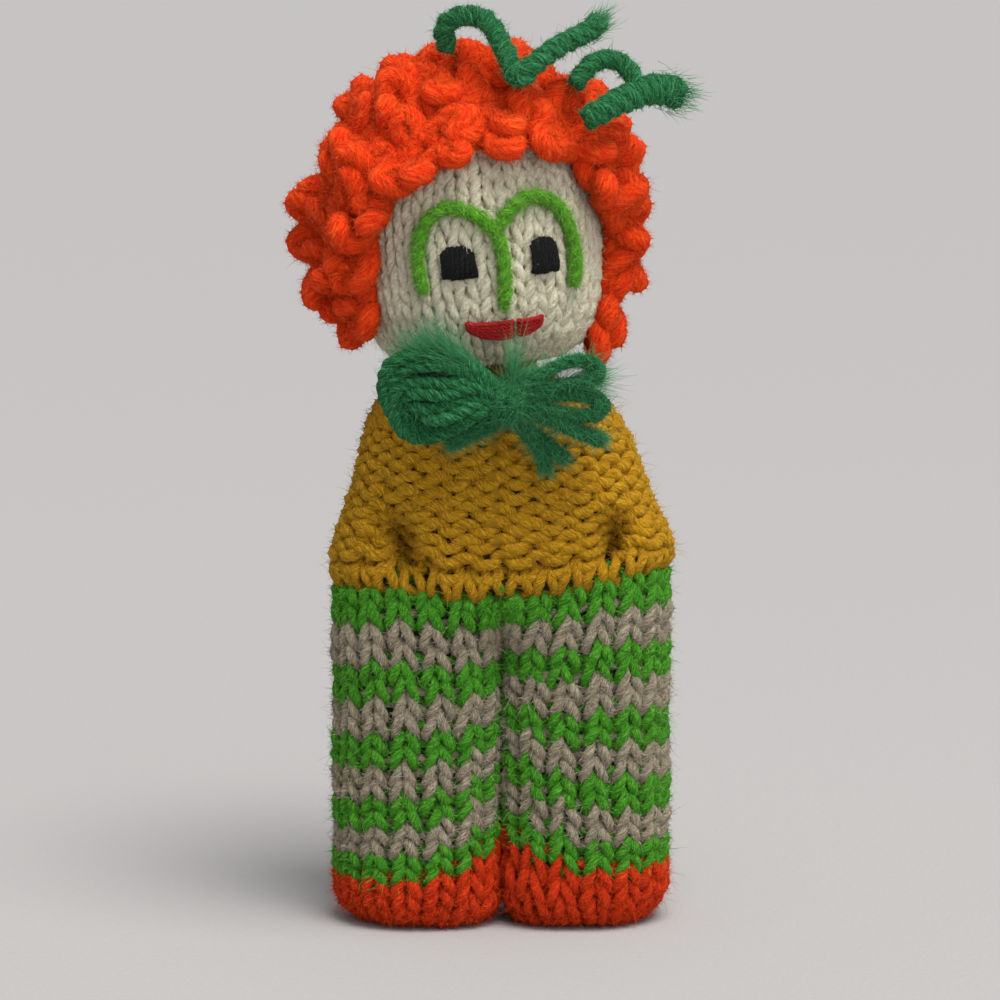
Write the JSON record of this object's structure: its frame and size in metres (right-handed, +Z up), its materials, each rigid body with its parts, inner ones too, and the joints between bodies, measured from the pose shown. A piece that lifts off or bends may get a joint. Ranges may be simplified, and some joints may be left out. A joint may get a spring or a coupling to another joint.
{
  "type": "knitted doll",
  "caption": "Hand-knitted clown doll with stuffed striped legs, a purl jumper, looped orange hair and a green yarn bow, standing on flat soles",
  "frame": {"origin": "on the floor below the middle of the doll's bounding box", "axes": "+Z up, +X to the right of someone who faces the doll, +Y to the back of the doll"},
  "size_m": [0.0652, 0.0536, 0.1567],
  "materials": {
    "mustard_wool": "soft purl-faced double knitting wool",
    "green_wool": "soft double knitting wool",
    "grey_wool": "soft marled double knitting wool",
    "shoe_wool": "soft double knitting wool",
    "white_wool": "soft off-white double knitting wool",
    "orange_wool": "thick soft looped wool",
    "deep_green_wool": "plied wool with frayed ends",
    "bright_green_thread": "chain-stitched wool",
    "black_thread": "satin-stitched wool",
    "red_thread": "satin-stitched cotton",
    "stuffing": "loose polyester fibre"
  },
  "bodies": {
    "torso": {"trouser_top": "green_wool", "jumper": "mustard_wool", "body_stuffing": "stuffing", "back_seam": "mustard_wool", "left_arm": "mustard_wool", "left_arm_stuffing": "stuffing", "left_arm_stitching": "mustard_wool", "right_arm": "mustard_wool", "right_arm_stuffing": "stuffing", "right_arm_stitching": "mustard_wool"},
    "left_leg": {"left_shoe": "shoe_wool", "left_trouser_leg": "green_wool", "left_leg_stuffing": "stuffing", "left_leg_seam": "grey_wool"},
    "right_leg": {"right_shoe": "shoe_wool", "right_trouser_leg": "green_wool", "right_leg_stuffing": "stuffing", "right_leg_seam": "grey_wool"},
    "neck_thread": {"neck_thread": "mustard_wool"},
    "neck_stuffing": {"neck_stuffing": "stuffing"},
    "head": {"head": "white_wool", "head_stuffing": "stuffing", "left_eye": "black_thread", "right_eye": "black_thread", "left_brow": "bright_green_thread", "right_brow": "bright_green_thread", "mouth": "red_thread", "hair_left_temple": "orange_wool", "hair_fringe": "orange_wool", "hair_right_temple": "orange_wool", "hair_left_side": "orange_wool", "hair_crown": "orange_wool", "hair_right_side": "orange_wool", "hair_nape_left": "orange_wool", "hair_back_left": "orange_wool", "hair_back_top": "orange_wool", "hair_back_right": "orange_wool", "hair_nape_right": "orange_wool", "hair_ring_left": "orange_wool", "hair_ring_right": "orange_wool", "hair_whorl": "orange_wool"},
    "bow": {"bow_knot": "deep_green_wool", "bow_left_loops": "deep_green_wool", "bow_right_upper_loop": "deep_green_wool", "bow_right_lower_loop": "deep_green_wool", "bow_left_tail": "deep_green_wool", "bow_centre_tail": "deep_green_wool", "bow_right_tail": "deep_green_wool", "bow_tie": "deep_green_wool"},
    "top_sprig": {"top_sprig": "deep_green_wool"},
    "side_sprig": {"side_sprig_tail": "deep_green_wool", "side_sprig_loop": "deep_green_wool"}
  },
  "joints": [
    {"name": "left_hip", "type": "hinge", "parent": "torso", "child": "left_leg", "pos_m": [-0.01245, -0.00192, 0.039], "axis": [-1, 0, 0], "range_deg": [-30, 40], "stiffness_Nm_per_rad": 0.08},
    {"name": "right_hip", "type": "hinge", "parent": "torso", "child": "right_leg", "pos_m": [0.01715, -0.00192, 0.039], "axis": [-1, 0, 0], "range_deg": [-30, 40], "stiffness_Nm_per_rad": 0.08},
    {"name": "neck_turn", "type": "hinge", "parent": "torso", "child": "neck_thread", "pos_m": [0.00035, -0.00192, 0.093], "axis": [0, 0, 1], "range_deg": [-35, 14], "stiffness_Nm_per_rad": 0.06},
    {"name": "neck_tilt", "type": "hinge", "parent": "neck_thread", "child": "neck_stuffing", "pos_m": [0.00035, -0.00192, 0.093], "axis": [0, 1, 0], "range_deg": [-6, 16], "stiffness_Nm_per_rad": 0.06},
    {"name": "neck_nod", "type": "hinge", "parent": "neck_stuffing", "child": "head", "pos_m": [0.00035, -0.00192, 0.093], "axis": [1, 0, 0], "range_deg": [-11, 8], "stiffness_Nm_per_rad": 0.06},
    {"name": "bow_swivel", "type": "hinge", "parent": "torso", "child": "bow", "pos_m": [0.00335, -0.02352, 0.091], "axis": [0, 1, 0], "range_deg": [-15, 15], "stiffness_Nm_per_rad": 0.002},
    {"name": "top_sprig_flop", "type": "hinge", "parent": "head", "child": "top_sprig", "pos_m": [0.00515, -0.02194, 0.14361], "axis": [0.7333, -0.5902, -0.3377], "range_deg": [-4, 30], "stiffness_Nm_per_rad": 0.0008},
    {"name": "side_sprig_flop", "type": "hinge", "parent": "head", "child": "side_sprig", "pos_m": [0.01637, -0.01988, 0.13696], "axis": [0.2857, -0.4704, -0.8349], "range_deg": [-4, 25], "stiffness_Nm_per_rad": 0.0008}
  ]
}
